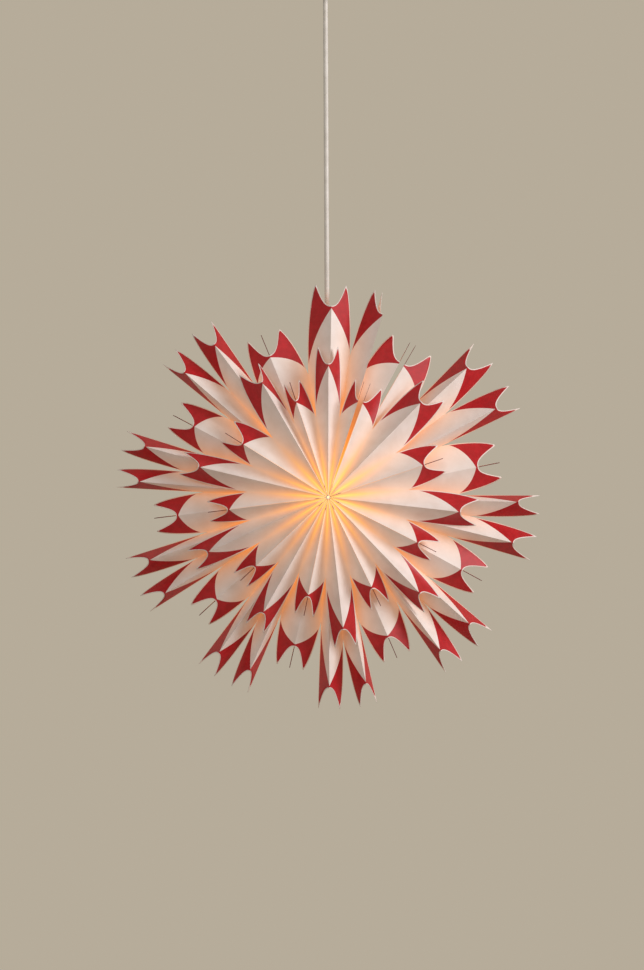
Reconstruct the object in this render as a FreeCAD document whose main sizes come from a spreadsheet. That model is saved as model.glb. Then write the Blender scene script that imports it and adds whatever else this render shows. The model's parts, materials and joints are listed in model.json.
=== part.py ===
import FreeCAD, Part
import Sketcher
import math
import os
import re

# A paper star lantern that hangs on a lamp cord. Millimetres and degrees, +Z up.
# The origin is the ceiling mount: the middle of the bracket's upper face, at the ceiling.
# The star's axis is Y and its front faces -Y. Seen from the front, angles run from +X towards +Z.
#
# The star is a fan of nine modules. Each module is one closed bag, pleated at the front and at
# the back, with a front card and a back card of shorter petals over it. Every pleat of a layer
# runs straight out from one point on the axis, the layer's apex.

Vec = FreeCAD.Vector
MODULES = 9

# Angle that each module takes, clockwise from the join, and how far across it the middle line is.
OUTER_SPANS = (52.6, 45.5, 37.3, 37.3, 34.9, 36.4, 39.1, 39.6, 37.3)
LONG_SHARES = (0.473, 0.55, 0.52, 0.517, 0.513, 0.522, 0.522, 0.71, 0.52)
INNER_SPANS = (49.7, 39.9, 38.2, 35.9, 34.7, 35.6, 34.8, 39.7, 51.5)
MIDDLE_SHARES = (0.507, 0.476, 0.503, 0.48, 0.49, 0.494, 0.49, 0.486, 0.62)

SIZES = (
    ("star_drop", 660, "ceiling to the star's axis"),
    ("paper_thick", 0.4, "paper, square to its face"),
    ("tip_radius", 2, "where the tips of cards and bags end, at the eyelet"),
    ("hollow_radius", 66, "inner edge of the bag walls, round the lamp"),
    ("inner_depth", 72, "middle plane to the apex of the bags"),
    ("apex_gap", 13, "apex of the bags to the apex of the cards"),
    ("outer_join", 70.9, "angle of the join between the cards"),
    ("inner_join", 60.7, "angle of the join between the bags"),
    ("outer_slot", 3, "angle left open at the join of the cards"),
    ("inner_slot", 2, "angle left open at the join of the bags"),
    ("short_notch", 119, "short petal at its fold"),
    ("short_horn", 142.5, "short petal's tips"),
    ("long_notch", 156, "long petal at its fold"),
    ("long_horn", 178, "long petal's tips"),
    ("card_cusp", 94.5, "cut between the petals of a card"),
    ("wide_notch", 181, "wide petal at its fold"),
    ("wide_horn", 208.5, "wide petal's tips"),
    ("side_cusp", 147, "cut between a wide and a narrow petal"),
    ("narrow_notch", 226, "narrow petal at its fold"),
    ("narrow_horn", 253.5, "narrow petal's tips"),
    ("middle_cusp", 169, "cut between the two narrow petals"),
    ("wall_cusp", 165, "cut in a bag's wall at the middle plane"),
    ("flap_start", 24, "inner edge of a card's flap"),
    ("card_fold_rise", 0.10, "run back of a card's fold, per radius"),
    ("card_valley_rise", 0.28, "run back of a card's trough"),
    ("flap_rise", 0.33, "run back of a flap's glued edge"),
    ("wide_fold_rise", 0.20, "run back of a wide petal's fold"),
    ("side_valley_rise", 0.30, "run back of the valley beside it"),
    ("narrow_fold_rise", 0.17, "run back of a narrow petal's fold"),
    ("middle_valley_rise", 0.30, "run back of the valley between them"),
    ("side_share", 0.265, "side valley from the wall, per module"),
    ("narrow_share", 0.155, "narrow fold from the middle, per module"),
    ("hoop_wire", 0.9, "wire radius of the hoop"),
    ("eye_wire", 1, "wire radius of the hoop's eye"),
    ("eye_radius", 15, "wire centre of the eye round the lampholder"),
    ("flange_radius", 17.5, "flanges that grip the eye"),
    ("flange_thick", 1.8, "thickness of those flanges"),
    ("holder_radius", 15.4, "lampholder body outside"),
    ("holder_wall", 1.6, "lampholder wall"),
    ("holder_length", 40, "lampholder body below the eye"),
    ("cap_height", 24, "lampholder cap above the eye"),
    ("cap_radius", 13.4, "lampholder cap outside"),
    ("neck_radius", 6.5, "neck of the cap round the cord"),
    ("neck_height", 9, "length of that neck"),
    ("spigot_length", 8, "cap's thread inside the body"),
    ("carrier_thick", 6, "insulator that carries the contacts"),
    ("carrier_drop", 3, "gap between the cap's thread and the insulator"),
    ("sleeve_radius", 7.5, "threaded contact sleeve outside"),
    ("sleeve_wall", 0.4, "sheet of the contact sleeve"),
    ("sleeve_length", 17, "length of the contact sleeve"),
    ("bulb_base_radius", 6.9, "thread of the bulb"),
    ("bulb_base_length", 18, "length of that thread"),
    ("button_radius", 2.8, "contact button of the bulb"),
    ("button_height", 2.5, "height of that button"),
    ("contact_gap", 0.3, "bulb's button to the contact spring"),
    ("collar_length", 15, "bulb's collar, thread to globe"),
    ("globe_radius", 22.5, "bulb's globe"),
    ("globe_mouth", 12.5, "where the globe meets the collar"),
    ("globe_wall", 1.0, "glass"),
    ("cord_radius", 2.85, "lamp cord"),
    ("cord_clear", 0.2, "cord to the holes it passes"),
    ("canopy_radius", 52, "ceiling cup outside"),
    ("canopy_height", 58, "ceiling cup, ceiling to floor"),
    ("canopy_wall", 1.2, "ceiling cup's sheet"),
    ("outlet_radius", 12, "hole in the cup's floor"),
    ("bush_radius", 10.4, "inside of the bush in that hole"),
    ("bracket_width", 22, "ceiling bracket across"),
    ("bracket_thick", 2, "ceiling bracket's sheet"),
    ("fixing_spacing", 76, "between the ceiling screw holes"),
    ("fixing_radius", 2.6, "ceiling screw holes"),
    ("tab_height", 16, "bracket's turned-down ends"),
    ("side_screw_drop", 10, "ceiling to the cup's side screws"),
    ("side_screw_radius", 2, "cup's side screws"),
    ("hook_wire", 2, "wire radius of the ceiling hook"),
    ("hook_radius", 5, "bowl of the ceiling hook, wire centre"),
    ("hook_drop", 15, "ceiling to the middle of the hook's bowl"),
    ("link_wire", 1.25, "wire radius of the hanging link"),
    ("link_radius", 6, "hanging link, wire centre"),
    ("bail_wire", 1.5, "wire radius of the clamp's bail"),
    ("bail_radius", 5, "clamp's bail, wire centre"),
    ("hang_clear", 0.3, "gap kept between hook, link and bail"),
    ("clamp_radius", 8, "cord clamp outside"),
    ("clamp_height", 14, "cord clamp's length"),
    ("clamp_screw_radius", 1.5, "cord clamp's screws"),
    ("terminal_length", 18, "terminal block, along X"),
    ("terminal_middle", 20, "hook to the middle of the terminal block"),
    ("terminal_width", 14, "terminal block, along Y"),
    ("terminal_height", 12, "terminal block, down from the bracket"),
    ("dot_radius", 8, "hook-and-loop dots at the join"),
    ("dot_middle", 105, "star's axis to the dots"),
    ("dot_spacing", 40, "between the front and back dots"),
)

# Shape of a petal's cut edge: where its tip is across the half petal, and how the cut bends.
# A card's valleys lie a little nearer to its long petal than halfway from its edge.
HORN_SHARE = 0.45
HORN_POWER = 2.2
SLIT_POWER = 1.1
STEPS_UP = 3
STEPS_DOWN = 3
CARD_VALLEY_SHARE = 0.53
WALL_STEPS = (0.1, 0.2, 0.32, 0.45, 0.7, 1.0)

doc = FreeCAD.newDocument("paper_star_lantern")
sheet = doc.addObject("Spreadsheet::Sheet", "sizes")


def fill_sheet():
    rows = [(name, value, note) for name, value, note in SIZES]
    series = (("outer_span", OUTER_SPANS), ("long_share", LONG_SHARES),
              ("inner_span", INNER_SPANS), ("middle_share", MIDDLE_SHARES))
    for stem, values in series:
        rows += [(f"{stem}_{i + 1}", v, f"module {i + 1}") for i, v in enumerate(values)]
    for row, (name, value, note) in enumerate(rows, start=1):
        sheet.set(f"A{row}", note)
        sheet.set(f"B{row}", str(value))
        sheet.setAlias(f"B{row}", name)
    doc.recompute()


def size(name):
    return float(sheet.get(name))


fill_sheet()


# ---------------------------------------------------------------- folded paper

def flat_face(points):
    return Part.Face(Part.makePolygon(list(points) + [points[0]]))


def quad_faces(a, b, c, d):
    """One face through four points, or two triangles where they aren't in one plane."""
    normal = (b - a).cross(c - a)
    if normal.Length > 1e-9 and abs((d - a).dot(normal.normalize())) < 1e-7:
        return [flat_face((a, b, c, d))]
    return [flat_face((a, b, c)), flat_face((a, c, d))]


def paper_solid(stations, closed):
    """Solid through thin four-cornered sections, each (inner, outer, outer', inner')."""
    count = len(stations)
    faces = []
    for i in range(count if closed else count - 1):
        here, there = stations[i], stations[(i + 1) % count]
        for k in range(4):
            m = (k + 1) % 4
            faces += quad_faces(here[k], here[m], there[m], there[k])
    if not closed:
        faces += quad_faces(*stations[0][::-1]) + quad_faces(*stations[-1])
    shell = Part.makeShell(faces)
    shell.sewShape()
    return Part.makeSolid(shell)


def cut_edge(notch, horn, cusp):
    """Radius of a half petal's cut edge against its share of the way from fold to valley."""
    points = []
    for i in range(STEPS_UP + 1):
        part = i / STEPS_UP
        points.append((HORN_SHARE * part, notch + (horn - notch) * part ** HORN_POWER))
    for i in range(1, STEPS_DOWN + 1):
        part = i / STEPS_DOWN
        radius = horn - (horn - cusp) * part ** SLIT_POWER
        points.append((HORN_SHARE + (1 - HORN_SHARE) * part, radius))
    return points


def flat_rise(share, span, fold_rise, valley_rise):
    """Run back per radius on the plane through two folds that are span radians apart."""
    return (fold_rise * math.sin(span * (1 - share)) + valley_rise * math.sin(span * share)) / math.sin(span)


def trough_rise(share, span, fold_rise, valley_rise):
    """The same on a face that is steep at its fold and eases into a trough."""
    return fold_rise + (valley_rise - fold_rise) * (1 - (1 - share) ** 2)


def half_petal(fold, valley, fold_rise, valley_rise, edge, rise_at):
    """Rays (angle, rise, radius) from a petal's fold to the valley beside it."""
    span = abs(valley - fold)
    rays = []
    for share, radius in edge:
        rise = rise_at(share, span, fold_rise, valley_rise)
        rays.append((fold + (valley - fold) * share, rise, radius))
    return rays


def pleats(folds, rise_at):
    """Rays across a whole pleated front, from fold to valley to fold, each ray once."""
    rays = []
    for fold, valley, fold_rise, valley_rise, edge, downhill in folds:
        half = half_petal(fold, valley, fold_rise, valley_rise, edge, rise_at)
        if not downhill:
            half.reverse()
        rays += half if not rays else half[1:]
    return rays


def on_star(radius, angle, y):
    return Vec(radius * math.cos(angle), y, radius * math.sin(angle) - size("star_drop"))


def ray_station(apex, ray, offsets):
    """Section of the paper along one ray, with its own offset at the inner and outer end."""
    angle, rise, radius = ray
    tip = size("tip_radius")
    inner = on_star(tip, angle, -apex + rise * tip)
    outer = on_star(radius, angle, -apex + rise * radius)
    return (inner, outer, outer + offsets[1], inner + offsets[0])


def tangent(angle, turn):
    """Unit vector across the rays, towards falling angles where turn is -1."""
    return Vec(-math.sin(angle) * turn, 0, math.cos(angle) * turn)


def pleated_front(apex, rays):
    """Stations across the front; the two end folds are mitred into the walls beside them."""
    thick = size("paper_thick")
    back = Vec(0, thick * math.sqrt(2), 0)
    stations = [ray_station(apex, ray, (back, back)) for ray in rays]
    for end, beside in ((0, 1), (-1, -2)):
        angle, rise, _ = rays[end]
        step = abs(rays[beside][0] - angle)
        slant = (rays[beside][1] - rise * math.cos(step)) / math.sin(step)
        inward = tangent(angle, -1 if end == 0 else 1)
        mitres = []
        for reach in (min(thick, 0.4 * step * size("tip_radius")), thick):
            mitres.append(inward * reach + Vec(0, back.y + slant * reach, 0))
        stations[end] = ray_station(apex, rays[end], mitres)
    return stations


def mirrored(stations):
    """The same sections on the other side of the middle plane."""
    return [tuple(Vec(p.x, -p.y, p.z) for p in station) for station in stations]


def bag_wall(angle, turn):
    """Sections of a bag's wall behind its front fold, down to the middle plane."""
    thick, tip, hollow = size("paper_thick"), size("tip_radius"), size("hollow_radius")
    depth, rise = size("inner_depth"), size("wide_fold_rise")
    notch, horn, cusp = size("wide_notch"), size("wide_horn"), size("wall_cusp")
    offset = tangent(angle, turn) * thick
    stations = []
    for share in WALL_STEPS:
        if share < HORN_SHARE:
            outer = notch + (horn - notch) * (share / HORN_SHARE) ** HORN_POWER
        else:
            outer = horn - (horn - cusp) * ((share - HORN_SHARE) / (1 - HORN_SHARE)) ** SLIT_POWER
        inner = tip + (hollow - tip) * min(1.0, share / WALL_STEPS[1])
        p = on_star(inner, angle, (rise * inner - depth) * (1 - share))
        q = on_star(outer, angle, (rise * notch - depth) * (1 - share))
        stations.append((p, q, q + offset, p + offset))
    return stations


def card_flap(angle, turn):
    """Sections of a card's glued flap, from its deep edge up to the fold."""
    thick, tip = size("paper_thick"), size("tip_radius")
    offset = tangent(angle, turn) * thick
    edge = cut_edge(size("short_notch"), size("short_horn"), size("card_cusp"))
    fold_rise, deep_rise = size("card_fold_rise"), size("flap_rise")
    first = edge[1][0]
    stations = []
    for share, radius in reversed(edge[1:]):
        rise = fold_rise + (deep_rise - fold_rise) * share
        start = tip + (size("flap_start") - tip) * min(1.0, share / first)
        p = on_star(start, angle, rise * start - outer_depth())
        q = on_star(radius, angle, rise * radius - outer_depth())
        stations.append((p, q, q + offset, p + offset))
    return stations


def fan_edges(join, spans, slot):
    """Start and end angle of each module, clockwise from the join, in radians."""
    total = sum(spans)
    edges = [join]
    for span in spans:
        edges.append(edges[-1] - 360 * span / total)
    pairs = [[edges[i], edges[i + 1]] for i in range(len(spans))]
    pairs[0][0] -= slot / 2
    pairs[-1][1] += slot / 2
    return [(math.radians(a), math.radians(b)) for a, b in pairs]


def outer_depth():
    return size("inner_depth") + size("apex_gap")


def series(stem):
    return [size(f"{stem}_{i + 1}") for i in range(MODULES)]


def card_shape(start, end, share):
    """Front card: half a short petal, a long petal, and half a short petal again."""
    short = cut_edge(size("short_notch"), size("short_horn"), size("card_cusp"))
    long = cut_edge(size("long_notch"), size("long_horn"), size("card_cusp"))
    fold_rise, valley_rise = size("card_fold_rise"), size("card_valley_rise")
    middle = start + (end - start) * share
    first = start + (middle - start) * CARD_VALLEY_SHARE
    last = end + (middle - end) * CARD_VALLEY_SHARE
    rays = pleats(((start, first, fold_rise, valley_rise, short, True),
                   (middle, first, fold_rise, valley_rise, long, False),
                   (middle, last, fold_rise, valley_rise, long, True),
                   (end, last, fold_rise, valley_rise, short, False)), trough_rise)
    front = pleated_front(outer_depth(), rays)
    far_flap = card_flap(end, 1)
    far_flap.reverse()
    return card_flap(start, -1) + front + far_flap


def bag_front(start, end, share):
    """Rays of a bag's pleats: wide half petal, two narrow petals, wide half petal."""
    wide = cut_edge(size("wide_notch"), size("wide_horn"), size("side_cusp"))
    narrow_side = cut_edge(size("narrow_notch"), size("narrow_horn"), size("side_cusp"))
    narrow_middle = cut_edge(size("narrow_notch"), size("narrow_horn"), size("middle_cusp"))
    wide_rise, side_rise = size("wide_fold_rise"), size("side_valley_rise")
    narrow_rise, middle_rise = size("narrow_fold_rise"), size("middle_valley_rise")
    span = end - start
    middle = start + span * share
    valleys = (start + span * size("side_share"), end - span * size("side_share"))
    folds = (middle - span * size("narrow_share"), middle + span * size("narrow_share"))
    return pleats(((start, valleys[0], wide_rise, side_rise, wide, True),
                   (folds[0], valleys[0], narrow_rise, side_rise, narrow_side, False),
                   (folds[0], middle, narrow_rise, middle_rise, narrow_middle, True),
                   (folds[1], middle, narrow_rise, middle_rise, narrow_middle, False),
                   (folds[1], valleys[1], narrow_rise, side_rise, narrow_side, True),
                   (end, valleys[1], wide_rise, side_rise, wide, False)), flat_rise)


def bag_shape(start, end, share):
    """Closed bag: pleated front, wall, mirrored back, wall."""
    front = pleated_front(size("inner_depth"), bag_front(start, end, share))
    back = mirrored(front)
    back.reverse()
    loop = list(front)
    for angle, turn, forward in ((end, 1, True), (start, -1, False)):
        wall = bag_wall(angle, turn)
        rear = mirrored(wall[:-1])
        rear.reverse()
        whole = wall + rear
        if not forward:
            whole.reverse()
        loop += whole + (back if forward else [])
    return loop


def add_shape(name, shape):
    piece = doc.addObject("Part::Feature", name)
    piece.Label = name
    piece.Shape = shape
    return piece


def make_paper():
    cards = fan_edges(size("outer_join"), series("outer_span"), size("outer_slot"))
    bags = fan_edges(size("inner_join"), series("inner_span"), size("inner_slot"))
    pieces = []
    for i in range(MODULES):
        front = card_shape(*cards[i], series("long_share")[i])
        pieces.append(add_shape(f"front_card_{i + 1}", paper_solid(front, False)))
        pieces.append(add_shape(f"back_card_{i + 1}", paper_solid(mirrored(front), False)))
        bag = bag_shape(*bags[i], series("middle_share")[i])
        pieces.append(add_shape(f"bag_{i + 1}", paper_solid(bag, True)))
    return pieces


# ---------------------------------------------------------------- bound pieces

NAMES = {entry[0] for entry in SIZES}


def linked(text):
    """The text as an expression on the sheet, such as 'eye_radius + eye_wire'."""
    return re.sub(r"[a-z_]+", lambda m: f"sizes.{m[0]}" if m[0] in NAMES else m[0], text)


def bind(target, links):
    for prop, text in links.items():
        target.setExpression(prop, linked(text))
    return target


def primitive(kind, name, sizes, place=None, turn=None):
    """Part primitive with its sizes, and its place along X, Y and Z, bound to the sheet."""
    piece = doc.addObject(f"Part::{kind}", name)
    if turn:
        piece.Placement = FreeCAD.Placement(Vec(0, 0, 0), turn)
    bind(piece, sizes)
    for axis, text in zip("xyz", place or ()):
        bind(piece, {f"Placement.Base.{axis}": text})
    return piece


def combined(kind, name, *pieces):
    """Cut of two pieces, or fusion or group of several."""
    whole = doc.addObject(f"Part::{kind}", name)
    if kind == "Cut":
        whole.Base, whole.Tool = pieces
    elif kind == "MultiFuse":
        whole.Shapes = list(pieces)
    else:
        whole.Links = list(pieces)
    return whole


def cylinder(name, radius, height, place, turn=None):
    return primitive("Cylinder", name, {"Radius": radius, "Height": height}, place, turn)


def box(name, length, width, height, place):
    return primitive("Box", name, {"Length": length, "Width": width, "Height": height}, place)


def ring(name, radius, wire, place, turn=None, sweep="360"):
    sizes = {"Radius1": radius, "Radius2": wire, "Angle3": sweep}
    return primitive("Torus", name, sizes, place, turn)


def rotation(axis, angle):
    return FreeCAD.Rotation(Vec(*axis), angle)


def pin_vertex(sketch, index, kind, text):
    """Hold a profile's vertex at a distance from the sketch's origin."""
    if text == "0":
        axis = -2 if kind == "DistanceX" else -1
        sketch.addConstraint(Sketcher.Constraint("PointOnObject", index, 1, axis))
        return
    spot = sketch.evalExpression(linked(text))
    number = sketch.addConstraint(Sketcher.Constraint(kind, -1, 1, index, 1, float(spot)))
    sketch.setExpression(f"Constraints[{number}]", linked(text))


def revolved(name, profile, height):
    """Body turned about Z from a closed profile of (radius, z) texts, lifted by height."""
    body = doc.addObject("PartDesign::Body", name)
    sketch = body.newObject("Sketcher::SketchObject", name + "_profile")
    plane = [item for item in body.Origin.OriginFeatures if item.Role == "XZ_Plane"][0]
    sketch.AttachmentSupport = [(plane, "")]
    sketch.MapMode = "FlatFace"
    corners = [Vec(*(float(sketch.evalExpression(linked(t))) for t in spot), 0) for spot in profile]
    count = len(corners)
    for i in range(count):
        sketch.addGeometry(Part.LineSegment(corners[i], corners[(i + 1) % count]), False)
    for i in range(count):
        sketch.addConstraint(Sketcher.Constraint("Coincident", i, 2, (i + 1) % count, 1))
    for i, (radius, z) in enumerate(profile):
        pin_vertex(sketch, i, "DistanceX", radius)
        pin_vertex(sketch, i, "DistanceY", z)
    turned = body.newObject("PartDesign::Revolution", name + "_turned")
    turned.Profile = sketch
    turned.ReferenceAxis = (sketch, ["V_Axis"])
    turned.Angle = 360
    bind(body, {"Placement.Base.z": height})
    doc.recompute()
    return body


# Heights, in the sheet's names. The eye is where the hoop of the wire frame meets the lampholder.
HOOP = "(hollow_radius - hoop_wire)"
EYE = f"(sqrt({HOOP} ^ 2 - eye_radius ^ 2) - star_drop)"
FLANGE = "(eye_wire + flange_thick)"
CORD_HOLE = "(cord_radius + cord_clear)"
HOLDER_BORE = "(holder_radius - holder_wall)"
CARRIER_FOOT = "(spigot_length + carrier_drop + carrier_thick)"
BUTTON_TOP = "(sleeve_wall + contact_gap + spigot_length + carrier_drop + carrier_thick)"
BASE_TOP = f"({BUTTON_TOP} + button_height)"
COLLAR_TOP = f"({BASE_TOP} + bulb_base_length)"
MOUTH = f"({COLLAR_TOP} + collar_length)"
HOOK_BOWL = "(hook_drop + hook_radius)"
LINK_MIDDLE = f"({HOOK_BOWL} - hook_wire - link_wire - hang_clear + link_radius)"
LINK_BOWL = f"({LINK_MIDDLE} + link_radius)"
BAIL_MIDDLE = f"({LINK_BOWL} - link_wire - bail_wire - hang_clear + bail_radius)"
CLAMP_TOP = f"({BAIL_MIDDLE} + bail_radius)"
CORD_TOP = f"({CLAMP_TOP} + bail_wire + 1)"
BRACKET_HALF = "(sqrt((canopy_radius - canopy_wall - 1) ^ 2 - (bracket_width / 2) ^ 2))"


def make_frame():
    """Hoop that the bag walls rest on, open at the top where it ends in the holder's eye."""
    gap = math.degrees(math.asin(size("eye_radius") / (size("hollow_radius") - size("hoop_wire"))))
    upright = rotation((1, 0, 0), 90).multiply(rotation((0, 0, 1), 90 + gap))
    sweep = f"360 deg - 2 * asin(eye_radius / {HOOP})"
    hoop = ring("hoop", HOOP, "hoop_wire", ("0", "0", "-star_drop"), upright, sweep)
    eye = ring("eye", "eye_radius", "eye_wire", ("0", "0", EYE))
    return [combined("MultiFuse", "wire_frame", hoop, eye)]


def make_holder():
    """Lampholder: cap with the cord grip, body, and the contacts on their insulator."""
    neck = "(cap_height - neck_height)"
    cap = revolved("cap_turning", (
        (CORD_HOLE, "cap_height"), ("neck_radius", "cap_height"), ("neck_radius", neck),
        ("cap_radius", f"{neck} - 5"), ("cap_radius", FLANGE), ("flange_radius", FLANGE),
        ("flange_radius", "eye_wire"), (f"{HOLDER_BORE} - 0.1", "eye_wire"),
        (f"{HOLDER_BORE} - 0.1", "-spigot_length"),
        (f"{HOLDER_BORE} - holder_wall", "-spigot_length"),
        ("cap_radius - holder_wall", f"{neck} - 6"), (CORD_HOLE, f"{neck} - 2")), EYE)
    middle = f"{EYE} + cap_height - neck_height / 2"
    across = rotation((0, 1, 0), 90)
    hole = cylinder("grip_hole", "clamp_screw_radius", "neck_radius", ("0", "0", middle), across)
    screw = cylinder("grip_screw", "clamp_screw_radius", f"neck_radius + 1.5 - {CORD_HOLE}",
                     (CORD_HOLE, "0", middle), across)
    body = revolved("holder_body", (
        (HOLDER_BORE, "-eye_wire"), ("flange_radius", "-eye_wire"),
        ("flange_radius", f"-{FLANGE}"), ("holder_radius", f"-{FLANGE}"),
        ("holder_radius", "2 - holder_length"), ("holder_radius - 1", "-holder_length"),
        (HOLDER_BORE, "-holder_length")), EYE)
    carrier = revolved("contact_carrier", (
        ("button_radius / 2", f"-{CARRIER_FOOT}"), (HOLDER_BORE, f"-{CARRIER_FOOT}"),
        (HOLDER_BORE, f"carrier_thick - {CARRIER_FOOT}"),
        ("button_radius / 2", f"carrier_thick - {CARRIER_FOOT}")), EYE)
    sleeve = revolved("thread_contact", (
        ("sleeve_radius - sleeve_wall", f"-{CARRIER_FOOT} - sleeve_length"),
        ("sleeve_radius", f"-{CARRIER_FOOT} - sleeve_length"),
        ("sleeve_radius", f"-{CARRIER_FOOT} - 1"), ("sleeve_radius + 1.5", f"-{CARRIER_FOOT} - 1"),
        ("sleeve_radius + 1.5", f"-{CARRIER_FOOT}"),
        ("sleeve_radius - sleeve_wall", f"-{CARRIER_FOOT}")), EYE)
    spring = box("centre_contact", "button_radius * 4", "button_radius * 1.2", "sleeve_wall",
                 ("-button_radius * 2", "-button_radius * 0.6",
                  f"{EYE} - {CARRIER_FOOT} - sleeve_wall"))
    return [combined("Cut", "holder_cap", cap, hole), screw, body, carrier, sleeve, spring]


def make_bulb():
    """Bulb: contact button, thread, collar, opal globe and the board of lights inside it."""
    button = cylinder("bulb_button", "button_radius", "button_height",
                      ("0", "0", f"{EYE} - {BASE_TOP}"))
    base = cylinder("bulb_thread", "bulb_base_radius", "bulb_base_length",
                    ("0", "0", f"{EYE} - {COLLAR_TOP}"))
    collar = primitive("Cone", "bulb_collar", {
        "Radius1": "globe_mouth", "Radius2": "bulb_base_radius + 0.6", "Height": "collar_length"},
        ("0", "0", f"{EYE} - {MOUTH}"))
    board = primitive("Cone", "light_board", {
        "Radius1": "globe_mouth * 0.35", "Radius2": "globe_mouth - globe_wall - 1",
        "Height": "globe_radius / 2"}, ("0", "0", f"{EYE} - {MOUTH} - globe_radius / 2"))
    centre = f"{EYE} - {MOUTH} - sqrt(globe_radius ^ 2 - globe_mouth ^ 2)"
    ball = primitive("Sphere", "globe_outside", {"Radius": "globe_radius"}, ("0", "0", centre))
    hollow = primitive("Sphere", "globe_inside", {"Radius": "globe_radius - globe_wall"},
                       ("0", "0", centre))
    mouth = cylinder("globe_opening", "globe_radius", "globe_radius", ("0", "0", f"{EYE} - {MOUTH}"))
    away = combined("MultiFuse", "globe_cutaway", hollow, mouth)
    return [button, base, collar, board, combined("Cut", "bulb_globe", ball, away)]


def make_cord():
    """Cord from the clamp inside the ceiling cup down into the lampholder's cap."""
    foot = f"({EYE} + cap_height - neck_height - 2)"
    cord = cylinder("cord", "cord_radius", f"-{CORD_TOP} - {foot}", ("0", "0", foot))
    block = cylinder("clamp_block", "clamp_radius", "clamp_height",
                     ("0", "0", f"-{CLAMP_TOP} - clamp_height"))
    bail = ring("clamp_bail", "bail_radius", "bail_wire", ("0", "0", f"-{BAIL_MIDDLE}"),
                rotation((1, 0, 0), 90))
    whole = combined("MultiFuse", "clamp_casting", block, bail)
    bore = cylinder("clamp_bore", CORD_HOLE, "clamp_height",
                    ("0", "0", f"-{CORD_TOP} - clamp_height"))
    across = rotation((0, 1, 0), 90)
    screws, holes = [], [bore]
    for i, share in enumerate(("0.4", "0.78")):
        place = f"-{CLAMP_TOP} - clamp_height * {share}"
        holes.append(cylinder(f"clamp_hole_{i}", "clamp_screw_radius", "clamp_radius",
                              ("0", "0", place), across))
        screws.append(cylinder(f"clamp_screw_{i}", "clamp_screw_radius",
                               "clamp_radius + 1 - cord_radius", ("cord_radius", "0", place), across))
    cutter = combined("MultiFuse", "clamp_cutter", *holes)
    return [cord, combined("Cut", "cord_clamp", whole, cutter),
            combined("Compound", "clamp_screws", *screws)]


def make_canopy():
    """Ceiling cup with its outlet bush and the two side screws that hold it to the bracket."""
    inner = "(canopy_radius - canopy_wall)"
    floor = "(canopy_height - canopy_wall)"
    shoulder = "(outlet_radius + 12)"
    cup = revolved("cup_turning", (
        ("canopy_radius", "0"), ("canopy_radius", "14 - canopy_height"),
        ("canopy_radius - 4", "5 - canopy_height"), ("canopy_radius - 13", "-canopy_height"),
        (shoulder, "-canopy_height"), ("outlet_radius", "-canopy_height"),
        ("outlet_radius", f"-{floor}"), (shoulder, f"-{floor}"),
        (f"{inner} - 12.6", f"-{floor}"), (f"{inner} - 3.6", f"5.6 - {floor}"),
        (inner, f"14 - {floor}"), (inner, "0")), "0")
    across = rotation((0, 1, 0), 90)
    hole = cylinder("side_hole", "side_screw_radius", "canopy_radius * 2",
                    ("-canopy_radius", "0", "-side_screw_drop"), across)
    screws = []
    for i, side in enumerate(("", "-")):
        shank_start = f"{BRACKET_HALF} - bracket_thick" if side == "" else "-canopy_radius"
        head_start = "canopy_radius" if side == "" else "-canopy_radius - 2.5"
        shank = cylinder(f"side_shank_{i}", "side_screw_radius",
                         f"canopy_radius - {BRACKET_HALF} + bracket_thick",
                         (shank_start, "0", "-side_screw_drop"), across)
        head = cylinder(f"side_head_{i}", "side_screw_radius * 2", "2.5",
                        (head_start, "0", "-side_screw_drop"), across)
        screws.append(combined("MultiFuse", f"side_screw_{i}", shank, head))
    bush = revolved("outlet_bush", (
        ("bush_radius", "-canopy_height - 2"), ("outlet_radius + 2.5", "-canopy_height - 2"),
        ("outlet_radius + 2.5", "-canopy_height"), ("outlet_radius", "-canopy_height"),
        ("outlet_radius", f"-{floor}"), ("outlet_radius + 2", f"-{floor}"),
        ("outlet_radius + 1", f"1.5 - {floor}"), ("bush_radius", f"1.5 - {floor}")), "0")
    return [combined("Cut", "canopy", cup, hole), bush,
            combined("Compound", "canopy_screws", *screws)]


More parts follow.
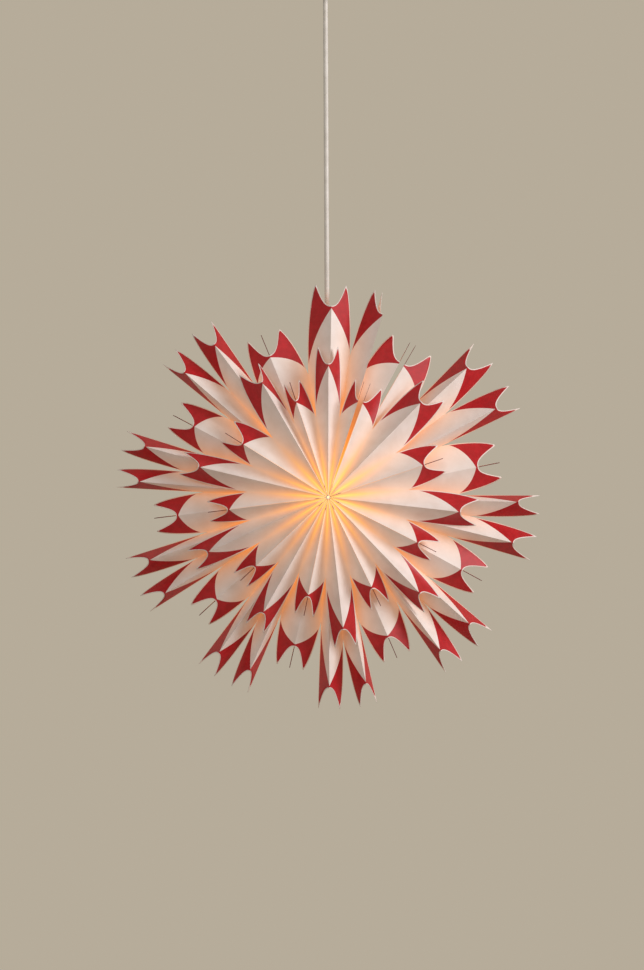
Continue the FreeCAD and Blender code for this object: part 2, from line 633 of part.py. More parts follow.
def make_ceiling():
    """Bracket with its hook, nut and terminal block, and the loose link on the hook."""
    plate = box("bracket_plate", f"2 * {BRACKET_HALF}", "bracket_width", "bracket_thick",
                (f"-{BRACKET_HALF}", "-bracket_width / 2", "-bracket_thick"))
    tabs = []
    for i, start in enumerate((f"-{BRACKET_HALF}", f"{BRACKET_HALF} - bracket_thick")):
        tabs.append(box(f"bracket_tab_{i}", "bracket_thick", "bracket_width", "tab_height",
                        (start, "-bracket_width / 2", "-tab_height")))
    strip = combined("MultiFuse", "bracket_strip", plate, *tabs)
    holes = [cylinder("shank_hole", "hook_wire", "bracket_thick", ("0", "0", "-bracket_thick"))]
    for i, side in enumerate(("", "-")):
        holes.append(cylinder(f"fixing_hole_{i}", "fixing_radius", "bracket_thick",
                              (f"{side}fixing_spacing / 2", "0", "-bracket_thick")))
    holes.append(cylinder("tab_hole", "side_screw_radius", f"2 * {BRACKET_HALF}",
                          (f"-{BRACKET_HALF}", "0", "-side_screw_drop"), rotation((0, 1, 0), 90)))
    bracket = combined("Cut", "ceiling_bracket", strip, combined("MultiFuse", "bracket_holes", *holes))
    shank = cylinder("hook_shank", "hook_wire", "hook_drop - hook_radius",
                     ("0", "0", "hook_radius - hook_drop"))
    bowl_turn = rotation((1, 0, 0), 90).multiply(rotation((0, 0, 1), 90))
    bowl = ring("hook_bowl", "hook_radius", "hook_wire", ("0", "0", "-hook_drop"), bowl_turn, "300")
    hook = combined("MultiFuse", "ceiling_hook", shank, bowl)
    blank = primitive("Prism", "nut_blank", {"Circumradius": "hook_wire * 2.2", "Height": "3"},
                      ("0", "0", "-bracket_thick - 3"))
    thread = cylinder("nut_thread", "hook_wire", "3", ("0", "0", "-bracket_thick - 3"))
    nut = combined("Cut", "hook_nut", blank, thread)
    link = ring("hanging_link", "link_radius", "link_wire", ("0", "0", f"-{LINK_MIDDLE}"),
                rotation((0, 1, 0), 90))
    return [bracket, hook, nut, link] + make_terminal()


def make_terminal():
    block = box("terminal_block", "terminal_length", "terminal_width", "terminal_height",
                ("-terminal_middle - terminal_length / 2", "-terminal_width / 2",
                 "-bracket_thick - terminal_height"))
    screws = []
    for i, across in enumerate(("-1", "0", "1")):
        for k, along in enumerate(("-1", "1")):
            screws.append(cylinder(f"terminal_screw_{i}_{k}", "terminal_width * 0.1", "0.8", (
                f"-terminal_middle + {along} * terminal_length / 4",
                f"{across} * terminal_width * 0.3", "-bracket_thick - terminal_height - 0.8")))
    return [block, combined("Compound", "terminal_screws", *screws)]


def make_eyelets():
    """Small tubes on the axis that the tips of cards and bags close round."""
    pieces = []
    length = "apex_gap + 1.8"
    for name, start in (("front_eyelet", "-inner_depth - apex_gap - 0.2"), ("back_eyelet", "inner_depth - 1.6")):
        place = ("0", start, "-star_drop")
        turn = rotation((1, 0, 0), -90)
        tube = cylinder(name + "_tube", "tip_radius", length, place, turn)
        bore = cylinder(name + "_bore", "tip_radius * 0.6", length, place, turn)
        pieces.append(combined("Cut", name, tube, bore))
    return pieces


def make_dots():
    """Pairs of hook-and-loop dots between the first and last bag's walls at the join."""
    half_slot = math.radians(size("inner_slot") / 2)
    join = math.radians(size("inner_join"))
    radius, middle = size("dot_radius"), size("dot_middle")
    thick = (middle - radius) * math.sin(half_slot)
    pieces = []
    for name, turn in (("hook_dots", 1), ("loop_dots", -1)):
        angle = join - turn * half_slot
        discs = []
        for side in (-1, 1):
            centre = on_star(middle, angle, side * size("dot_spacing") / 2)
            discs.append(Part.makeCylinder(radius, thick, centre, tangent(angle, turn)))
        pieces.append(add_shape(name, Part.makeCompound(discs)))
    return pieces


def write_parts(pieces):
    for item in doc.Objects:
        if "Invalid" in item.State or "Error" in item.State:
            raise RuntimeError(f"{item.Name} failed: {item.State}")
    os.makedirs("parts", exist_ok=True)
    for piece in pieces:
        shape = piece.Shape
        if shape.isNull() or not shape.isValid() or shape.Volume <= 0:
            raise RuntimeError(f"{piece.Name} has no valid shape")
        piece.Label = piece.Name
        shape.exportStep(f"parts/{piece.Label}.step")


pieces = make_paper() + make_eyelets() + make_dots() + make_frame() + make_holder()
pieces += make_bulb() + make_cord() + make_canopy() + make_ceiling()
doc.recompute()
write_parts(pieces)
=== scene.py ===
import json
import math

import bpy
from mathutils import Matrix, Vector
from mathutils.geometry import intersect_point_line

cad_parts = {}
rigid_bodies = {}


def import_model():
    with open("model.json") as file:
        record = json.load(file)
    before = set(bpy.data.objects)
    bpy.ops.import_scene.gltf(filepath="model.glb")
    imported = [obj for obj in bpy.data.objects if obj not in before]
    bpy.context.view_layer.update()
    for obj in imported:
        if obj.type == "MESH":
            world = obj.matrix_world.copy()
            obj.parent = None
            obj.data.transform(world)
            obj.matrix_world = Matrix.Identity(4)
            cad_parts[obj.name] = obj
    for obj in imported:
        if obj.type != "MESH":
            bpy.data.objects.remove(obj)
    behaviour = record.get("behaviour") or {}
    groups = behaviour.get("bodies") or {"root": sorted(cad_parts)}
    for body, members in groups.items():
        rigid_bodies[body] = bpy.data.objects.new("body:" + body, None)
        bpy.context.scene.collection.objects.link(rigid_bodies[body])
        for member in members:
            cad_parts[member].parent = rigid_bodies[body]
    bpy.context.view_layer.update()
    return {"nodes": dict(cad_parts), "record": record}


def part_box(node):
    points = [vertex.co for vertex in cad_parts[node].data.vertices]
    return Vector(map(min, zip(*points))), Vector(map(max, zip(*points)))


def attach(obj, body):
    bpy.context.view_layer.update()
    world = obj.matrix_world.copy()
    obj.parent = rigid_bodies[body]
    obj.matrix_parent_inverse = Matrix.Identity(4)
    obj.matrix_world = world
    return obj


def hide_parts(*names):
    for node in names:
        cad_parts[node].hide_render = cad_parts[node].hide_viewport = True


# The paper star lantern's looks. Metres, in the CAD model's frame: the origin is the ceiling
# mount, +Z is up, and the star's axis is Y with its front facing -Y.

for leftover in list(bpy.data.objects):
    bpy.data.objects.remove(leftover)

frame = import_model()
MM = 0.001

# ---------------------------------------------------------------- camera and cord

STAR_Z = -0.660
PIXEL = 1.185 * MM
STAR_PIXEL = (328, 497)
IMAGE_MIDDLE = (322, 485)
IMAGE_HEIGHT = 970
PHOTO_PLANE_Y = -0.025
CAMERA_AWAY = 2.975
CAMERA_ROLL = math.radians(0.3)


def add_camera():
    """Long lens, level and square on to the star, at the photograph's framing."""
    data = bpy.data.cameras.new("photo_camera")
    data.sensor_width = 36
    data.lens = data.sensor_width * CAMERA_AWAY / (IMAGE_HEIGHT * PIXEL)
    data.clip_end = 50
    camera = bpy.data.objects.new("photo_camera", data)
    across = (IMAGE_MIDDLE[0] - STAR_PIXEL[0]) * PIXEL
    up = (STAR_PIXEL[1] - IMAGE_MIDDLE[1]) * PIXEL
    camera.location = (across, PHOTO_PLANE_Y - CAMERA_AWAY, STAR_Z + up)
    camera.rotation_euler = (math.radians(90), CAMERA_ROLL, 0)
    bpy.context.collection.objects.link(camera)
    bpy.context.scene.camera = camera


CORD_RADIUS = 2.85 * MM
CORD_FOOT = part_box("cord")[0].z
CORD_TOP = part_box("cord")[1].z
CORD_POINTS = 12


def add_cord():
    """The lamp cord, held straight by the star's weight, from the holder's cap to the clamp."""
    curve = bpy.data.curves.new("lamp_cord", "CURVE")
    curve.dimensions = "3D"
    curve.bevel_depth = 1
    curve.bevel_resolution = 6
    curve.use_fill_caps = True
    spline = curve.splines.new("NURBS")
    spline.points.add(CORD_POINTS - 1)
    for i, point in enumerate(spline.points):
        point.co = (0, 0, CORD_FOOT + (CORD_TOP - CORD_FOOT) * i / (CORD_POINTS - 1), 1)
        point.radius = CORD_RADIUS
    spline.order_u = 3
    spline.use_endpoint_u = True
    cord = bpy.data.objects.new("lamp_cord", curve)
    bpy.context.collection.objects.link(cord)
    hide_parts("cord")
    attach(cord, "pendant")
    return cord


# ---------------------------------------------------------------- materials

class Nodes:
    """A material's node tree, built a node at a time."""

    def __init__(self, name):
        self.material = bpy.data.materials.new(name)
        self.material.use_nodes = True
        self.tree = self.material.node_tree
        self.shader = self.tree.nodes["Principled BSDF"]

    def add(self, kind, **settings):
        node = self.tree.nodes.new(kind)
        for key, value in settings.items():
            setattr(node, key, value)
        return node

    def join(self, source, target):
        self.tree.links.new(source, target)

    def place(self):
        return self.add("ShaderNodeTexCoord").outputs["Object"]

    def noise(self, scale, detail=4.0, stretch=None):
        """Noise in object space, scale per metre."""
        node = self.add("ShaderNodeTexNoise")
        node.inputs["Scale"].default_value = scale
        node.inputs["Detail"].default_value = detail
        source = self.place()
        if stretch:
            mapping = self.add("ShaderNodeMapping")
            mapping.inputs["Scale"].default_value = stretch
            self.join(source, mapping.inputs["Vector"])
            source = mapping.outputs["Vector"]
        self.join(source, node.inputs["Vector"])
        return node.outputs["Fac"]

    def spread(self, value, low, high, to_low=0.0, to_high=1.0, smooth=False):
        """The value's stretch from low to high, laid over another one."""
        node = self.add("ShaderNodeMapRange")
        if smooth:
            node.interpolation_type = "SMOOTHSTEP"
        for key, number in zip(("From Min", "From Max", "To Min", "To Max"),
                               (low, high, to_low, to_high)):
            node.inputs[key].default_value = number
        self.join(value, node.inputs["Value"])
        return node.outputs["Result"]

    def maths(self, kind, a, b):
        """Result of a maths node on two values, each a number or a socket."""
        node = self.add("ShaderNodeMath", operation=kind)
        for socket, value in zip(node.inputs, (a, b)):
            if isinstance(value, (int, float)):
                socket.default_value = value
            else:
                self.join(value, socket)
        return node.outputs[0]

    def mix(self, part, a, b, kind="MIX"):
        """Blend of two colours, each an (r, g, b) or a socket."""
        node = self.add("ShaderNodeMix", data_type="RGBA", blend_type=kind)
        for socket, value in ((node.inputs[0], part), (node.inputs[6], a), (node.inputs[7], b)):
            if isinstance(value, tuple):
                socket.default_value = (*value, 1)
            elif isinstance(value, (int, float)):
                socket.default_value = value
            else:
                self.join(value, socket)
        return node.outputs[2]

    def ramp(self, value, stops):
        node = self.add("ShaderNodeValToRGB")
        ramp = node.color_ramp
        while len(ramp.elements) < len(stops):
            ramp.elements.new(0.5)
        for element, (place, colour) in zip(ramp.elements, stops):
            element.position = place
            element.color = (*colour, 1)
        self.join(value, node.inputs["Fac"])
        return node.outputs["Color"]

    def bump(self, height, strength, distance):
        node = self.add("ShaderNodeBump")
        node.inputs["Strength"].default_value = strength
        node.inputs["Distance"].default_value = distance
        self.join(height, node.inputs["Height"])
        self.join(node.outputs["Normal"], self.shader.inputs["Normal"])

    def attribute(self, name):
        return self.add("ShaderNodeAttribute", attribute_name=name).outputs["Fac"]


def finish(name, colour, dark, rough, metallic=0.0, grain=900, wear=(1, 1, 1), emission=None,
           stretch=None, dent=0.02 * MM):
    """A hard material: blotches, grain, worn edges, uneven gloss and a fine bump."""
    made = Nodes(name)
    shader = made.shader
    blotch = made.spread(made.noise(grain / 12), 0.35, 0.65)
    fine = made.noise(grain, 6.0, stretch)
    body = made.mix(blotch, dark, colour)
    body = made.mix(made.spread(fine, 0.3, 0.7, 0.0, 0.25), body, dark)
    edges = made.spread(made.add("ShaderNodeNewGeometry").outputs["Pointiness"], 0.52, 0.6)
    worn = made.maths("MULTIPLY", edges, made.spread(fine, 0.4, 0.6, 0.2, 1.0))
    made.join(made.mix(worn, body, wear), shader.inputs["Base Color"])
    made.join(made.spread(fine, 0.3, 0.7, rough * 0.8, min(1.0, rough * 1.25)),
              shader.inputs["Roughness"])
    shader.inputs["Metallic"].default_value = metallic
    made.bump(fine, 0.4, dent)
    if emission:
        shader.inputs["Emission Color"].default_value = (*emission, 1)
        shader.inputs["Emission Strength"].default_value = 1.0
    return made.material


RED = (0.46, 0.004, 0.010)
RED_DEEP = (0.37, 0.002, 0.006)
# Painted light: warm tint of the white paper where the lamp's glow is painted on.
PAINTED_GLOW_TINT = (0.62, 0.30, 0.10)
# Painted shade: dark red laid on the cut edges of walls and flaps, standing in for their shaded
# printed side.
WALL_EDGE_SHADE = (0.12, 0.003, 0.005)
PAPER = (0.78, 0.71, 0.66)
PAPER_DARK = (0.72, 0.64, 0.58)
PAPER_ROUGH = 0.62
INK_ROUGH = 0.42
INK_BLOCKS = 0.93
INK_BLUR = 0.15 * MM
# Colours of the painted glow, from none to the brightest near the lamp.
GLOW_STOPS = ((0.0, (0.0, 0.0, 0.0)), (0.25, (0.16, 0.050, 0.012)), (0.5, (0.44, 0.15, 0.025)),
              (0.75, (0.66, 0.30, 0.05)), (1.0, (0.80, 0.52, 0.12)))


def paper_grain(made):
    """Paper's fibres and faint clouding: the clouding, and the bump set from the fibres."""
    fibre = made.noise(2600, 5.0)
    made.bump(fibre, 0.25, 0.02 * MM)
    made.shader.inputs["Roughness"].default_value = PAPER_ROUGH
    made.shader.inputs["Specular IOR Level"].default_value = 0.35
    return made.spread(made.noise(60, 3.0), 0.35, 0.65), fibre


def printed_side():
    """Outside of the paper: red tips with a bare rim, white leaves, and the lamp shining through as
    painted glow, which is emission plus a warm tint of the white laid out by position.
    """
    made = Nodes("printed_side")
    cloud, fibre = paper_grain(made)
    white = made.mix(cloud, PAPER_DARK, PAPER)
    white = made.mix(made.spread(fibre, 0.35, 0.7, 0.0, 0.12), white, PAPER_DARK)
    red = made.mix(made.spread(made.noise(140, 4.0), 0.35, 0.65), RED_DEEP, RED)
    red = made.mix(made.spread(fibre, 0.45, 0.75, 0.0, 0.04), red, PAPER)
    inked = made.maths("MULTIPLY",
                     made.spread(made.attribute("rim"), RIM * 0.85, RIM * 1.15, smooth=True),
                     made.spread(made.attribute("leaf"), -INK_BLUR, INK_BLUR, smooth=True))
    lamp = made.attribute("glow")
    # painted light: the white is tinted warm where the lamp's glow is painted
    white = made.mix(made.spread(lamp, 0.05, 0.9), white, PAINTED_GLOW_TINT)
    made.join(made.mix(inked, white, red), made.shader.inputs["Base Color"])
    # painted glow: emission from the glow attribute stands in for the lamp's light through the
    # paper, and the red print lets little of it through
    glow = made.ramp(lamp, GLOW_STOPS)
    glow = made.mix(made.maths("MULTIPLY", inked, INK_BLOCKS), glow, (0.0, 0.0, 0.0))
    made.join(glow, made.shader.inputs["Emission Color"])
    made.shader.inputs["Emission Strength"].default_value = 1.0
    gloss = made.spread(inked, 0.0, 1.0, PAPER_ROUGH, INK_ROUGH)
    made.join(gloss, made.shader.inputs["Roughness"])
    return made.material


def plain_side():
    """Inside of the paper, bare white, with the lamp's light on it painted as emission."""
    made = Nodes("plain_side")
    cloud, fibre = paper_grain(made)
    white = made.mix(cloud, PAPER_DARK, PAPER)
    made.join(made.mix(made.spread(fibre, 0.35, 0.7, 0.0, 0.12), white, PAPER_DARK),
              made.shader.inputs["Base Color"])
    # painted glow: emission by radius stands in for the lamp lighting the paper's inside
    made.join(made.ramp(made.attribute("inner_glow"), GLOW_STOPS),
              made.shader.inputs["Emission Color"])
    made.shader.inputs["Emission Strength"].default_value = 1.0
    return made.material


def cut_edge():
    """The paper's cut edge: bare on the petals, and painted dark red on walls and flaps that are
    seen edge-on, as painted shade of their printed side.
    """
    made = Nodes("cut_edge")
    cloud, fibre = paper_grain(made)
    bare = made.mix(cloud, PAPER_DARK, PAPER)
    bare = made.mix(made.spread(fibre, 0.35, 0.7, 0.0, 0.2), bare, PAPER_DARK)
    # painted shade: the cut edges of walls and flaps take the dark red in place of shade on their
    # printed side
    made.join(made.mix(made.attribute("wall"), bare, WALL_EDGE_SHADE), made.shader.inputs["Base Color"])
    return made.material


def cord_sheath():
    """Smooth white sheath, faintly ribbed along the cord and a little scuffed."""
    return finish("cord_sheath", (0.66, 0.62, 0.56), (0.54, 0.50, 0.44), 0.45, grain=700,
                  wear=(0.8, 0.78, 0.74), stretch=(1, 1, 0.1))


HARD = {
    "white_metal": ((0.76, 0.75, 0.72), (0.66, 0.65, 0.61), 0.32, 0.0),
    "zinc_sheet": ((0.62, 0.64, 0.66), (0.42, 0.44, 0.46), 0.42, 1.0),
    "zinc_wire": ((0.66, 0.67, 0.68), (0.45, 0.46, 0.48), 0.34, 1.0),
    "white_plastic": ((0.75, 0.74, 0.70), (0.66, 0.64, 0.59), 0.38, 0.0),
    "bulb_plastic": ((0.74, 0.73, 0.70), (0.65, 0.63, 0.60), 0.30, 0.0),
    "clear_plastic": ((0.58, 0.62, 0.62), (0.46, 0.50, 0.50), 0.22, 0.0),
    "porcelain": ((0.80, 0.79, 0.75), (0.70, 0.68, 0.63), 0.18, 0.0),
    "brass_parts": ((0.72, 0.52, 0.24), (0.48, 0.32, 0.12), 0.30, 1.0),
    "nickel_thread": ((0.70, 0.69, 0.66), (0.48, 0.47, 0.45), 0.24, 1.0),
    "board_metal": ((0.74, 0.74, 0.75), (0.55, 0.55, 0.56), 0.40, 1.0),
    "dot_fabric": ((0.70, 0.68, 0.64), (0.55, 0.53, 0.49), 0.90, 0.0),
}
GLOBE_GLOW = (1.0, 0.72, 0.38)


def dress_nodes():
    """Give every node that the scene keeps its slot's material."""
    made = {name: finish(name, *look) for name, look in HARD.items()}
    made["opal_glass"] = finish("opal_glass", (0.80, 0.76, 0.68), (0.74, 0.69, 0.60), 0.25,
                                emission=GLOBE_GLOW)
    made["cord_sheath"] = cord_sheath()
    made["printed_paper"] = finish("spare_paper", PAPER, PAPER_DARK, PAPER_ROUGH)
    for part in frame["record"]["subparts"]:
        node = frame["nodes"][part["node"]]
        node.data.materials.clear()
        node.data.materials.append(made[part["material_slot"]])
    return made


# ---------------------------------------------------------------- folded paper

MODULES = 9
OUTER_SPANS = (52.6, 45.5, 37.3, 37.3, 34.9, 36.4, 39.1, 39.6, 37.3)
LONG_SHARES = (0.473, 0.55, 0.52, 0.517, 0.513, 0.522, 0.522, 0.71, 0.52)
INNER_SPANS = (49.7, 39.9, 38.2, 35.9, 34.7, 35.6, 34.8, 39.7, 51.5)
MIDDLE_SHARES = (0.507, 0.476, 0.503, 0.48, 0.49, 0.494, 0.49, 0.486, 0.62)
OUTER_JOIN, OUTER_SLOT = 70.9, 3.0
INNER_JOIN, INNER_SLOT = 60.7, 2.0

PAPER_THICK = 0.4 * MM
TIP = 2 * MM
HOLLOW = 66 * MM
OUTER_DEPTH = 85 * MM
INNER_DEPTH = 72 * MM
FLAP_START = 24 * MM
CARD_CUSP = 94.5 * MM
WIDE_CUSP = 147 * MM
WALL_CUSP = 165 * MM
MIDDLE_CUSP = 169 * MM
CARD_FOLD, CARD_VALLEY, CARD_FLAP = 0.10, 0.28, 0.33
CARD_VALLEY_SHARE = 0.53
WIDE_FOLD, SIDE_VALLEY, NARROW_FOLD, MIDDLE_VALLEY = 0.20, 0.30, 0.17, 0.30
SIDE_SHARE, NARROW_SHARE = 0.265, 0.155

HORN_SHARE = 0.45
SIDE_HORN_SHARE = 0.85
SIDE_HORN_REACH = 4.3
HORN_POWER = 2.5
SLIT_POWER = 1.3
SLIT_RUN_ON = 1.6
RIM = 1.0 * MM
NOTCH_BAND = 2.8 * MM
COLUMNS = 16
LEAF_ROWS = 9
BAND_ROWS = 6
EDGE_SEARCH = 6
WALL_TURN = 0.12
CREASE = math.radians(24)


class Petal:
    """Cut and print of a half petal: notch at the fold, horn beside it, cusp at the valley."""

    def __init__(self, notch, horn, cusp, rounding, blunt, horn_share=HORN_SHARE, reach=90):
        self.notch, self.horn, self.cusp = notch * MM, horn * MM, cusp
        self.rounding = rounding * MM
        self.blunt = blunt
        self.horn_share = horn_share
        self.reach = math.radians(reach)

    def cut(self, share, span=0.1):
        """Radius of the cut edge, with the horn's point rounded off."""
        top = min(self.horn_share, self.reach / span)
        rising = self.notch + (self.horn - self.notch) * (share / top) ** HORN_POWER
        part = (share - top) / (1 - top)
        drop = self.horn - self.cusp
        falling = self.horn - (drop * part ** SLIT_POWER if part > 0 else SLIT_RUN_ON * drop * part)
        near = max(self.rounding - abs(rising - falling), 0) / self.rounding
        return min(rising, falling) - near * near * self.rounding / 4

    def leaf(self, share):
        """Radius where the white leaf ends and the red begins."""
        start = self.notch - NOTCH_BAND
        arch = 1 - math.sqrt(max(0.0, 1 - share * share))
        fall = (1 - self.blunt) * share + self.blunt * arch
        return start + (self.cusp - start) * fall


SHORT = Petal(119, 142.5, CARD_CUSP, 3, 0.3)
LONG = Petal(156, 178, CARD_CUSP, 3, 0.3)
WIDE = Petal(181, 208.5, WIDE_CUSP, 7, 0.6)
WALL = Petal(181, 208.5, WALL_CUSP, 5, 0.6)
NARROW_SIDE = Petal(226, 253.5, WIDE_CUSP, 3, 0.25, SIDE_HORN_SHARE, SIDE_HORN_REACH)
NARROW_MIDDLE = Petal(226, 253.5, MIDDLE_CUSP, 3, 0.25, 0.5)


def on_star(radius, angle, y):
    """Point at a radius and an angle round the star's axis."""
    return Vector((radius * math.cos(angle), y, STAR_Z + radius * math.sin(angle)))


FOLD_GLOW = 0.14
TROUGH_POWER = 1.2
CORE_SHARE = 0.36
CORE_GLOW = 0.20
INNER_GLOW = 0.8
INNER_START = HOLLOW * 0.5
INNER_REACH = 0.9


def glow_at(radius, trough, reach, spot):
    """How strongly the lamp's painted glow shines through at a radius: most in troughs and near the
    middle.
    """
    near = math.exp(-(radius / reach) ** 2)
    core = math.exp(-(radius / spot) ** 2)
    face = FOLD_GLOW + (1 - FOLD_GLOW) * trough ** TROUGH_POWER
    return min(1.0, face * ((1 - CORE_SHARE) * near + CORE_SHARE * core) + CORE_GLOW * core)


def inner_glow_at(radius, reach):
    """How bright the lamp's painted glow on the paper's inside is at a radius."""
    away = max(0.0, radius - INNER_START)
    return INNER_GLOW * math.exp(-(away / (INNER_REACH * reach)) ** 2)


class Strip:
    """One column of a panel: its line from inner to outer point, its leaf mark and its glow."""

    def __init__(self, inner, outer, leaf_part, trough, wall=0.0):
        self.inner, self.outer = inner, outer
        self.leaf_part = leaf_part
        self.trough = trough
        self.wall = wall

    def at(self, part):
        return self.inner.lerp(self.outer, part)


def shares():
    """Shares from fold to valley, closer together at the horns."""
    marks = [i / COLUMNS for i in range(COLUMNS + 1)]
    for horn in (HORN_SHARE, SIDE_HORN_SHARE):
        marks += [horn + step for step in (-0.035, -0.015, 0.0, 0.015, 0.035)]
    return sorted(set(marks))


SHARES = shares()


def flat_rise(share, span, fold_rise, valley_rise):
    """Run back per radius on the plane through two folds that are span radians apart."""
    from_fold = fold_rise * math.sin(span * (1 - share))
    from_valley = valley_rise * math.sin(span * share)
    return (from_fold + from_valley) / math.sin(span)


def trough_rise(share, span, fold_rise, valley_rise):
    """The same on a face that is steep at its fold and eases into a trough."""
    return fold_rise + (valley_rise - fold_rise) * (1 - (1 - share) ** 2)


def half_petal(apex, fold, valley, rises, petal, rise_at):
    """Strips from a fold to the valley beside it."""
    span = abs(valley - fold)
    strips = []
    for share in SHARES:
        angle = fold + (valley - fold) * share
        rise = rise_at(share, span, *rises)
        cut = petal.cut(share, span)
        leaf = min(petal.leaf(share), cut)
        inner = on_star(TIP, angle, rise * TIP - apex)
        outer = on_star(cut, angle, rise * cut - apex)
        strips.append(Strip(inner, outer, (leaf - TIP) / (cut - TIP), share))
    return strips


def card_flap(angle):
    """Strips of a card's glued flap, from the fold to its deep edge."""
    strips = []
    for share in SHARES:
        rise = CARD_FOLD + (CARD_FLAP - CARD_FOLD) * share
        start = TIP + (FLAP_START - TIP) * min(1.0, share / WALL_TURN)
        cut, leaf = SHORT.cut(share), min(SHORT.leaf(share), SHORT.cut(share))
        inner = on_star(start, angle, rise * start - OUTER_DEPTH)
        outer = on_star(cut, angle, rise * cut - OUTER_DEPTH)
        strips.append(Strip(inner, outer, (leaf - start) / (cut - start), 1.0, 1.0))
    return strips


def bag_wall(angle):
    """Strips of a bag's wall, from its front fold down to the middle plane."""
    strips = []
    for share in SHARES:
        start = TIP + (HOLLOW - TIP) * min(1.0, share / WALL_TURN)
        cut, leaf = WALL.cut(share), min(WALL.leaf(share), WALL.cut(share))
        inner = on_star(start, angle, (WIDE_FOLD * start - INNER_DEPTH) * (1 - share))
        outer = on_star(cut, angle, (WIDE_FOLD * WALL.notch - INNER_DEPTH) * (1 - share))
        strips.append(Strip(inner, outer, (leaf - start) / (cut - start), 1.0, 1.0))
    return strips


def mirrored(strips):
    """The same strips on the other side of the middle plane."""
    made = []
    for strip in strips:
        ends = [Vector((p.x, -p.y, p.z)) for p in (strip.inner, strip.outer)]
        made.append(Strip(*ends, strip.leaf_part, strip.trough, strip.wall))
    return made


def backwards(strips):
    return list(reversed(strips))


def chained(panels):
    """Panels end to end, with the strip that two of them share taken once."""
    strips = list(panels[0])
    for panel in panels[1:]:
        strips += panel[1:]
    return strips


def rim_distance(point, column, outline):
    """Distance from a point to the cut edge near its own column."""
    best = math.inf
    for i in range(max(0, column - EDGE_SEARCH), min(len(outline) - 1, column + EDGE_SEARCH)):
        near, part = intersect_point_line(point, outline[i], outline[i + 1])
        near = outline[i].lerp(outline[i + 1], min(1.0, max(0.0, part)))
        best = min(best, (point - near).length)
    return best


def row_parts(leaf_part):
    """Places of the rows along a strip: some up to the leaf's end, the rest across the red."""
    parts = [leaf_part * i / LEAF_ROWS for i in range(LEAF_ROWS + 1)]
    parts += [leaf_part + (1 - leaf_part) * i / BAND_ROWS for i in range(1, BAND_ROWS + 1)]
    return parts


def paper_sheet(name, node, strips, closed, reach, spot, outside):
    """Folded sheet through the strips, printed on its outside and bare inside."""
    outline = [strip.outer for strip in strips]
    points, rims, leaves, glows, inner_glows, walls = [], [], [], [], [], []
    for column, strip in enumerate(strips):
        length = (strip.outer - strip.inner).length
        for part in row_parts(strip.leaf_part):
            point = strip.at(part)
            radius = math.hypot(point.x, point.z - STAR_Z)
            points.append(point)
            rims.append(rim_distance(point, column, outline))
            leaves.append((part - strip.leaf_part) * length)
            glows.append(glow_at(radius, strip.trough, reach, spot))
            walls.append(strip.wall)
            inner_glows.append(inner_glow_at(radius, reach))
    rows = LEAF_ROWS + BAND_ROWS + 1
    count = len(strips)
    faces = []
    for i in range(count if closed else count - 1):
        for k in range(rows - 1):
            a, b = i * rows + k, ((i + 1) % count) * rows + k
            face = (a, b, b + 1, a + 1)
            faces.append(face if outside > 0 else face[::-1])
    mesh = bpy.data.meshes.new(name)
    mesh.from_pydata(points, [], faces)
    for label, values in (("rim", rims), ("leaf", leaves), ("glow", glows),
                          ("inner_glow", inner_glows), ("wall", walls)):
        mesh.attributes.new(label, "FLOAT", "POINT").data.foreach_set("value", values)
    mesh.polygons.foreach_set("use_smooth", [True] * len(mesh.polygons))
    mesh.set_sharp_from_angle(angle=CREASE)
    mesh.materials.append(PRINTED)
    mesh.materials.append(PLAIN)
    mesh.materials.append(EDGE)
    piece = bpy.data.objects.new(name, mesh)
    bpy.context.collection.objects.link(piece)
    skin = piece.modifiers.new("thickness", "SOLIDIFY")
    skin.thickness = PAPER_THICK
    skin.offset = -1
    skin.material_offset = 1
    skin.material_offset_rim = 2
    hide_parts(node)
    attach(piece, "star")
    return piece


def fan_edges(join, spans, slot):
    """Start and end angle of each module, clockwise from the join, in radians."""
    edges = [join]
    for span in spans:
        edges.append(edges[-1] - 360 * span / sum(spans))
    pairs = [[edges[i], edges[i + 1]] for i in range(len(spans))]
    pairs[0][0] -= slot / 2
    pairs[-1][1] += slot / 2
    return [(math.radians(a), math.radians(b)) for a, b in pairs]


def card_strips(start, end, share):
    """Front card: flap, half a short petal, a long petal, half a short petal and flap."""
    middle = start + (end - start) * share
    first = start + (middle - start) * CARD_VALLEY_SHARE
    last = end + (middle - end) * CARD_VALLEY_SHARE
    rises = (CARD_FOLD, CARD_VALLEY)

    def half(fold, valley, petal):
        return half_petal(OUTER_DEPTH, fold, valley, rises, petal, trough_rise)

    return chained((backwards(card_flap(start)), half(start, first, SHORT),
                    backwards(half(middle, first, LONG)), half(middle, last, LONG),
                    backwards(half(end, last, SHORT)), card_flap(end)))


def bag_strips(start, end, share):
    """Closed bag: pleated front, wall, mirrored back and wall."""
    span = end - start
    middle = start + span * share
    valleys = (start + span * SIDE_SHARE, end - span * SIDE_SHARE)
    folds = (middle - span * NARROW_SHARE, middle + span * NARROW_SHARE)
    outer_rises, side_rises, middle_rises = ((WIDE_FOLD, SIDE_VALLEY), (NARROW_FOLD, SIDE_VALLEY),
                                             (NARROW_FOLD, MIDDLE_VALLEY))

    def half(fold, valley, rises, petal):
        return half_petal(INNER_DEPTH, fold, valley, rises, petal, flat_rise)

    front = chained((half(start, valleys[0], outer_rises, WIDE),
                     backwards(half(folds[0], valleys[0], side_rises, NARROW_SIDE)),
                     half(folds[0], middle, middle_rises, NARROW_MIDDLE),
                     backwards(half(folds[1], middle, middle_rises, NARROW_MIDDLE)),
                     half(folds[1], valleys[1], side_rises, NARROW_SIDE),
                     backwards(half(end, valleys[1], outer_rises, WIDE))))
    far, near = bag_wall(end), bag_wall(start)
    loop = chained((front, far, backwards(mirrored(far)), backwards(mirrored(front)),
                    mirrored(near), backwards(near)))
    return loop[:-1]


CARD_REACH, CARD_SPOT = 105 * MM, 42 * MM
BAG_REACH, BAG_SPOT = 190 * MM, 60 * MM


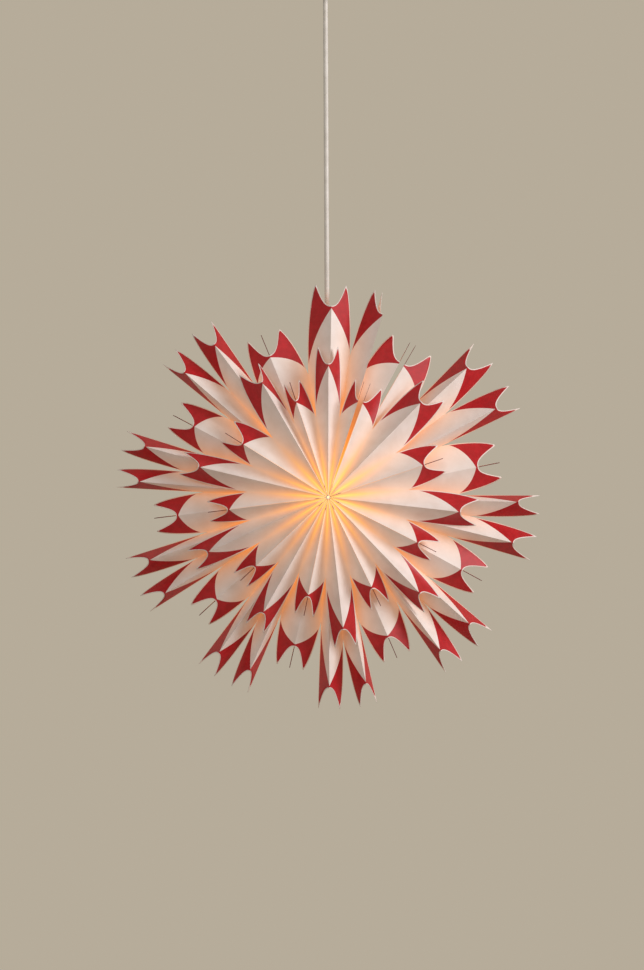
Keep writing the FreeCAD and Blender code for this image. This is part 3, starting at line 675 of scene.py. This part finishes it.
def add_paper():
    """All the cards and bags, each in place of its node."""
    cards = fan_edges(OUTER_JOIN, OUTER_SPANS, OUTER_SLOT)
    bags = fan_edges(INNER_JOIN, INNER_SPANS, INNER_SLOT)
    for i in range(MODULES):
        number = i + 1
        front = card_strips(*cards[i], LONG_SHARES[i])
        paper_sheet(f"front_petals_{number}", f"front_card_{number}", front, False,
                    CARD_REACH, CARD_SPOT, 1)
        paper_sheet(f"back_petals_{number}", f"back_card_{number}", mirrored(front), False,
                    CARD_REACH, CARD_SPOT, -1)
        bag = bag_strips(*bags[i], MIDDLE_SHARES[i])
        paper_sheet(f"folded_bag_{number}", f"bag_{number}", bag, True, BAG_REACH, BAG_SPOT, 1)


# ---------------------------------------------------------------- room and light

WALL_COLOUR = (0.470, 0.412, 0.323)
FLOOR_COLOUR = (0.56, 0.50, 0.41)
FLOOR_Z = -2.4
FLOOR_SIDE = 7.0
ROOM_LIGHT = 0.36
ROOM_COLOUR = (1.0, 0.97, 0.93)
LIGHTS = {
    "window": ((2.6, -1.35, 0.25), 1.4, 72, (1.0, 0.96, 0.99)),
    "fill": ((-0.9, -2.8, 0.4), 1.8, 20, (1.0, 0.95, 0.90)),
}


def add_room():
    """Plain pale floor, and a world that lights softly and shows as the photograph's wall."""
    half = FLOOR_SIDE / 2
    mesh = bpy.data.meshes.new("floor")
    mesh.from_pydata([(-half, -half, FLOOR_Z), (half, -half, FLOOR_Z), (half, half, FLOOR_Z),
                      (-half, half, FLOOR_Z)], [], [(0, 1, 2, 3)])
    floor = bpy.data.objects.new("floor", mesh)
    bpy.context.collection.objects.link(floor)
    mesh.materials.append(finish("floor", FLOOR_COLOUR, FLOOR_COLOUR, 0.7, grain=20,
                                 dent=0.1 * MM))

    world = bpy.data.worlds.new("room")
    bpy.context.scene.world = world
    world.use_nodes = True
    tree = world.node_tree
    tree.nodes.clear()
    rays = tree.nodes.new("ShaderNodeLightPath")
    seen = rays.outputs["Is Camera Ray"]
    for name in ("Is Glossy Ray", "Is Transmission Ray"):
        both = tree.nodes.new("ShaderNodeMath")
        both.operation = "MAXIMUM"
        tree.links.new(seen, both.inputs[0])
        tree.links.new(rays.outputs[name], both.inputs[1])
        seen = both.outputs[0]
    soft = tree.nodes.new("ShaderNodeBackground")
    soft.inputs["Color"].default_value = (*ROOM_COLOUR, 1)
    soft.inputs["Strength"].default_value = ROOM_LIGHT
    wall = tree.nodes.new("ShaderNodeBackground")
    wall.inputs["Color"].default_value = (*WALL_COLOUR, 1)
    choice = tree.nodes.new("ShaderNodeMixShader")
    output = tree.nodes.new("ShaderNodeOutputWorld")
    tree.links.new(seen, choice.inputs[0])
    tree.links.new(soft.outputs[0], choice.inputs[1])
    tree.links.new(wall.outputs[0], choice.inputs[2])
    tree.links.new(choice.outputs[0], output.inputs[0])


def add_light(name, place, side, power, colour):
    """Square soft light, turned to the star."""
    data = bpy.data.lights.new(name, "AREA")
    data.shape = "SQUARE"
    data.size = side
    data.energy = power
    data.color = colour
    light = bpy.data.objects.new(name, data)
    light.location = place
    aim = Vector((0, 0, STAR_Z)) - Vector(place)
    light.rotation_euler = aim.to_track_quat("-Z", "Y").to_euler()
    bpy.context.collection.objects.link(light)


add_camera()
cord_piece = add_cord()
slot_materials = dress_nodes()
cord_piece.data.materials.append(slot_materials["cord_sheath"])
PRINTED, PLAIN, EDGE = printed_side(), plain_side(), cut_edge()
add_paper()
add_room()
for light_name, light_look in LIGHTS.items():
    add_light(light_name, *light_look)

bpy.context.scene.view_settings.view_transform = "Standard"

bpy.context.view_layer.update()
